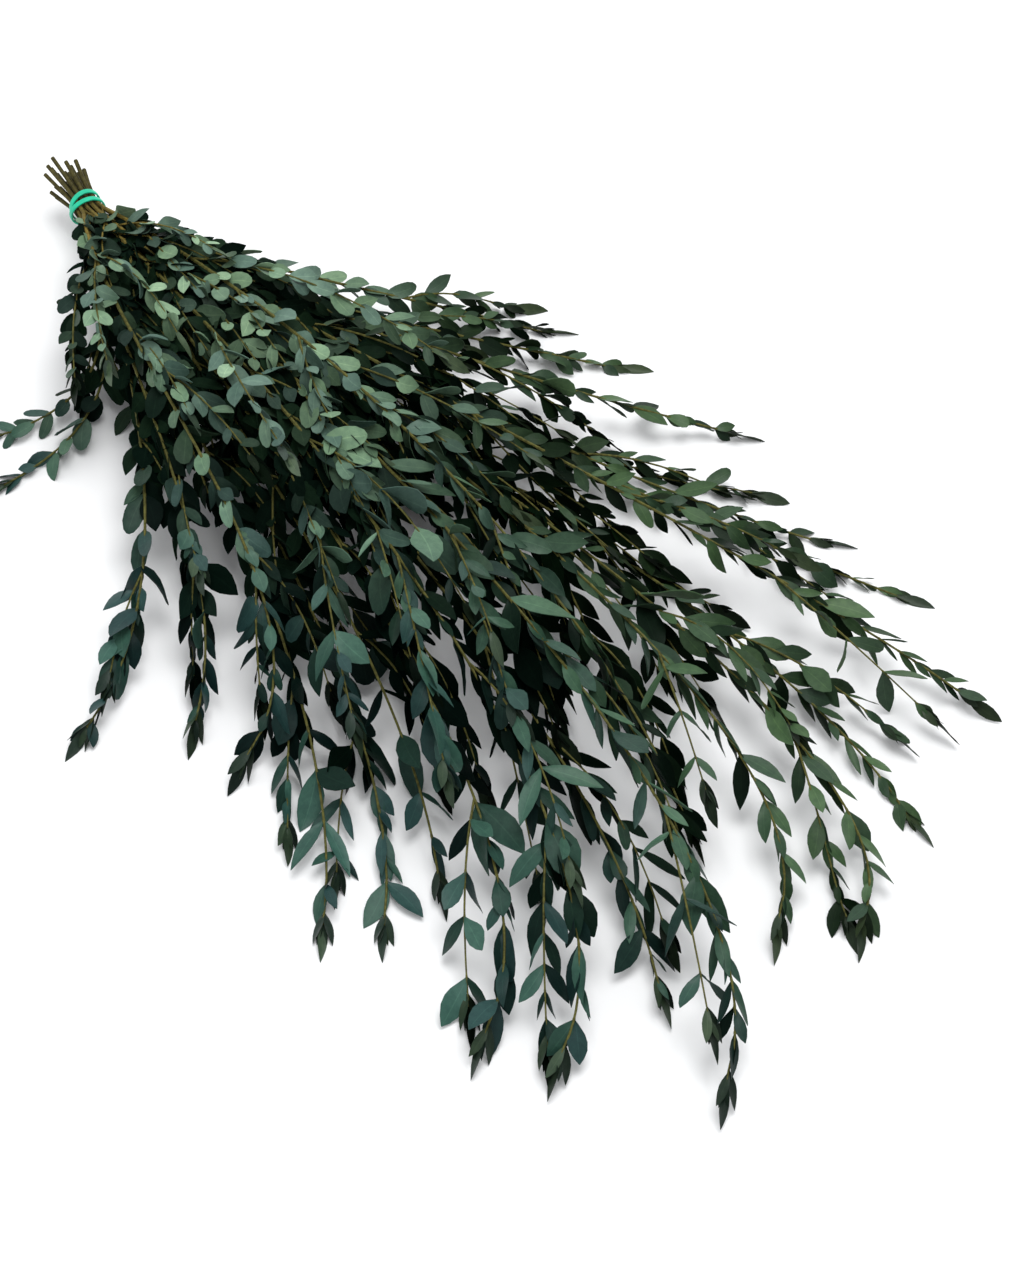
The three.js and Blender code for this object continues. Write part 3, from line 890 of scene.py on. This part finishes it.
def leaves_of(twig, corners, chance):
    """Every leaf of one stem. Those that the solid model has lie as they do there."""
    leaves = []
    joints = []
    draws = leaf_draws(twig.line, twig.start, twig.longest, seeded(twig.seed))
    shared = len(draws)  # the solid model knows of no more than these
    habit = chance()
    if habit < OPEN_HABIT:
        draws += pairs_between(twig, draws, chance)
    for k, draw in enumerate(draws):
        at, point, _, length, width, _, spread, _, arch = draw
        grown = smooth(*NEAR_TO_FAR, point.x)
        aside = smooth(*ASIDE, -point.y) * (1 - grown)
        in_solid = twig.solid and math.floor((k + 1) * LEAF_SHARE) > math.floor(k * LEAF_SHARE)
        in_solid = in_solid and k < shared
        root, _ = along(twig.fine, at * twig.stretch)
        joints.append(at * twig.stretch)
        for hand in (1, -1):
            pose = None
            if in_solid and hand == (1 if k % 2 else -1):
                pose = solid_pose(corners, draw, hand)
            if not pose:
                far_closer = 1 - mix(*CLOSE, mix(habit, chance(), 0.25))
                closer = spread * mix(NEAR_CLOSER, far_closer, grown)
                pose = free_pose(draw, hand, closer, chance)
            way, face = pose
            size = 1
            slim = SHARED_WIDTH
            if not in_solid:
                size = mix(*SIZE, grown) * mix(1, ASIDE_LONGER, aside)
                slim = mix(*SLIM, chance()) * mix(1, ASIDE_NARROWER, aside)
            wide = width * size * slim
            root_inside = root + ground_under_tie - way * ROOT_DEPTH
            leaves.append(Leaf(root_inside, way, face, length * size, wide, arch))
    for draw in end_cluster(twig) if twig.solid else []:
        root, _ = along(twig.fine, draw[0] * twig.stretch)
        for hand in (1, -1):
            way, face = leaf_pose(draw, hand, (0, 0), 0)
            leaves.append(Leaf(root + ground_under_tie, way, face, draw[3], draw[4], draw[8], True))
    last = end_draw(twig.line)
    pose = solid_pose(corners, last, 1) if twig.solid else None
    way, face = pose or leaf_pose(last, 1, (0, 0), 0)
    end_width = last[4] * END_WIDTH
    leaves.append(Leaf(last[1] + ground_under_tie, way, face, last[3], end_width, last[8], True))
    return leaves, joints


# %% [markdown]
# The real bunch is fullest from its tie to about halfway out, where short leafy shoots fill every gap.
# They are grown by the same rule as the side shoots, but shorter, and the solid model has none of them.

# %% Every stem of one branch
SMOOTH_STEM = 40  # steps in a stem's line here, where the solid one has ten
SMOOTH_SHOOT = 12
LONGEST_LEAF = (36, 27)  # in millimetres: on the branches to the right, and on those to the left
FILL_SPACING = 78 * MM
NO_FILL = 150 * MM  # this much of a branch's reach adds none of the short shoots
FILL_FIRST = 0.07  # the share of its stem at which the first one grows
FILL_SHARE = 0.52  # and the share of it that they are spread over
FILL_LENGTHS = (0.11, 0.06)  # in metres, at the start of a stem and at its end
FILL_OPEN = (18, 36)  # degrees from the stem
FILL_RADII = (0.6, 0.38)
FILL_SEED = 70000


def fill_draws(branch, chance):
    """Short leafy shoots that only this dressed bunch has, which make it as full as the real one."""
    reach = branch[1] * MM
    count = round((reach - NO_FILL) / FILL_SPACING)
    draws = []
    for j in range(count):
        share = FILL_FIRST + FILL_SHARE * ((j + chance()) / count) ** 1.4
        hand = 1 if chance() < smooth(28, -28, branch[0]) else -1  # the outer branches' grow inwards
        roll = hand * math.radians(mix(30, 120, chance()))
        spread = math.radians(mix(*FILL_OPEN, chance()))
        length = mix(*FILL_LENGTHS, share) * mix(0.8, 1.2, chance())
        sag = mix(0.05, 0.3, chance())
        droop = DROOP * (1 - smooth(5, 22, branch[0]))
        draws.append((share, roll, spread, length, sag, droop))
    return draws


def twigs_of(i, branch, corners):
    """The main stem of a branch and its side shoots."""
    seed = FIRST_SEED + SEED_STEP * i
    line = stem_line(branch, slots[i], seeded(seed), STEM_STEPS)
    fine = stem_line(branch, slots[i], seeded(seed), SMOOTH_STEM)
    longest = mix(*LONGEST_LEAF, smooth(-5, 25, branch[0]))
    stem = Twig(line, fine, STEM_RADII, FIRST_LEAF, longest, seed + 1)
    twigs = [stem]
    for j, draw in enumerate(shoot_draws(branch, seeded(seed + 2))):
        at = draw[0] * length_of(line)
        start, tangent = along(line, at)
        found = shoot_of(corners, start, tangent, draw)
        if not found:
            continue
        bent, turn = found
        curve = shoot_line(start, tangent, draw, turn, SMOOTH_SHOOT)
        shift = along(fine, at * stem.stretch)[0] - start
        curve = [p + shift * (1 - k / SMOOTH_SHOOT) for k, p in enumerate(curve)]
        twigs.append(Twig(bent, curve, SHOOT_RADII, 12 * MM, longest, seed + 3 + j))
    for j, draw in enumerate(fill_draws(branch, seeded(FILL_SEED + i))):
        start, tangent = along(fine, draw[0] * length_of(fine))
        curve = shoot_line(start, tangent, draw, 0, SMOOTH_SHOOT)
        twigs.append(Twig(curve, curve, FILL_RADII, 8 * MM, longest * 0.9, seed + 40 + j))
    return twigs


# %% [markdown]
# All branches are planned before any is made, because how dark a leaf is depends on the leaves of every
# branch above it. Then each stem's curve is turned into a mesh and joined with its leaves to one piece,
# which replaces its solid one.

# %% Grow the branches
CHANCE_SEED = 90000  # of what only the dressed bunch has


def plan_branch(i, branch):
    """The stems of one branch with their swellings, and its leaves, before anything is made."""
    corners = corners_of(f"branch_{i + 1:02d}")
    chance = seeded(CHANCE_SEED + i)
    leaves = []
    stems = []
    for twig in twigs_of(i, branch, corners):
        grown, joints = leaves_of(twig, corners, chance)
        leaves += grown
        stems.append((twig, joints))
    return stems, leaves, chance


def dress_branch(i, plan):
    """Makes the mesh of one branch, attaches it to the body root and hides its solid one."""
    stems, leaves, chance = plan
    name = f"branch_{i + 1:02d}"
    bpy.ops.object.select_all(action="DESELECT")
    bpy.ops.curve.primitive_nurbs_path_add()
    piece = bpy.context.object
    piece.name = name + "_leafy"
    curve = piece.data
    curve.splines.clear()
    for twig, joints in stems:
        add_twig(curve, twig, joints)
    curve.bevel_depth = MM
    curve.bevel_resolution = 1
    curve.use_fill_caps = True
    curve.materials.append(stem_bark)
    bpy.ops.object.convert(target="MESH")
    piece = bpy.context.object
    bpy.ops.object.shade_smooth_by_angle(angle=math.radians(50))
    for leaf in leaves:
        put_leaf(leaf, chance).select_set(True)
    bpy.ops.object.join()
    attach(piece, "root")
    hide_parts(name)
    return piece


plans = [plan_branch(i, branch) for i, branch in enumerate(BRANCHES)]
every_leaf = [leaf for _, leaves, _ in plans for leaf in leaves]
shade_leaves(every_leaf)
for i, plan in enumerate(plans):
    piece = dress_branch(i, plan)
    print(piece.name, "of", len(plan[1]), "leaves and", len(piece.data.polygons), "faces")
print(len(every_leaf), "leaves on", len(BRANCHES), "branches;", len(misses), "not in the solid model")

# %% [markdown]
# The band is a flat strip of green rubber, wound twice round the stems. The solid one already runs as it
# should, so its mesh is copied and joined up, its edges are rounded by a bevel, and one step of
# subdivision smooths its turns.

# %% Elastic band
EDGE_ROUNDING = 0.35 * MM


def make_band():
    """The solid band's own strip, joined up, with its long edges rounded."""
    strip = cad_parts["elastic_band"].data.copy()
    band = bpy.data.objects.new("band_round", strip)
    bpy.context.scene.collection.objects.link(band)
    bpy.ops.object.select_all(action="DESELECT")
    band.select_set(True)
    bpy.context.view_layer.objects.active = band
    bpy.ops.object.mode_set(mode="EDIT")
    bpy.ops.mesh.select_all(action="SELECT")
    bpy.ops.mesh.remove_doubles(threshold=1e-6)
    bpy.ops.mesh.tris_convert_to_quads()
    bpy.ops.object.mode_set(mode="OBJECT")
    strip.materials.clear()
    strip.materials.append(band_rubber)
    edges = band.modifiers.new("round_edges", "BEVEL")
    edges.width = EDGE_ROUNDING
    edges.segments = 2
    edges.angle_limit = math.radians(50)
    bpy.ops.object.modifier_apply(modifier=edges.name)
    finer = band.modifiers.new("smooth_turns", "SUBSURF")
    finer.levels = finer.render_levels = 1
    bpy.ops.object.modifier_apply(modifier=finer.name)
    bpy.ops.object.shade_smooth()
    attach(band, "root")
    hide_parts("elastic_band")
    return band


band = make_band()
print("band of", len(band.data.polygons), "faces")

# %% [markdown]
# The photograph was taken on white with light from all round and a little more from above, so the
# shadows are short and soft. A white floor, a pale surrounding and one large lamp overhead do that.

# %% Floor and light
FLOOR_SIZE = 12
FLOOR_WHITE = (0.86, 0.865, 0.87)
SURROUNDING = (0.985, 0.99, 1)
SURROUNDING_STRENGTH = 0.9
LAMP_HEIGHT = 2.3
LAMP_SIZE = 1.3
LAMP_POWER = 34


def make_floor():
    bpy.ops.object.select_all(action="DESELECT")
    bpy.ops.mesh.primitive_plane_add(size=FLOOR_SIZE)
    floor = bpy.context.object
    floor.name = "floor"
    made, tree, shader = material("floor_white")
    shader.inputs["Base Color"].default_value = (*FLOOR_WHITE, 1)
    shader.inputs["Roughness"].default_value = 0.9
    floor.data.materials.append(made)


def lamp(name, place, aim, size, power):
    data = bpy.data.lights.new(name, "AREA")
    data.size = size
    data.energy = power
    made = bpy.data.objects.new(name, data)
    made.location = place
    made.rotation_euler = (aim - place).to_track_quat("-Z", "Y").to_euler()
    bpy.context.scene.collection.objects.link(made)


make_floor()
middle = Vector((0, 0, 0))
lamp("key", middle + right * 0.2 + away * 0.05 + UP * LAMP_HEIGHT, middle, LAMP_SIZE, LAMP_POWER)
world = bpy.data.worlds.new("studio")
world.use_nodes = True
background = world.node_tree.nodes["Background"]
background.inputs["Color"].default_value = (*SURROUNDING, 1)
background.inputs["Strength"].default_value = SURROUNDING_STRENGTH
bpy.context.scene.world = world
bpy.context.scene.view_settings.view_transform = "Standard"
print("floor, lamp and surrounding made")

# %% Finish
def corners(box):
    return [[round(v, 6) for v in corner] for corner in box]


bpy.context.view_layer.update()
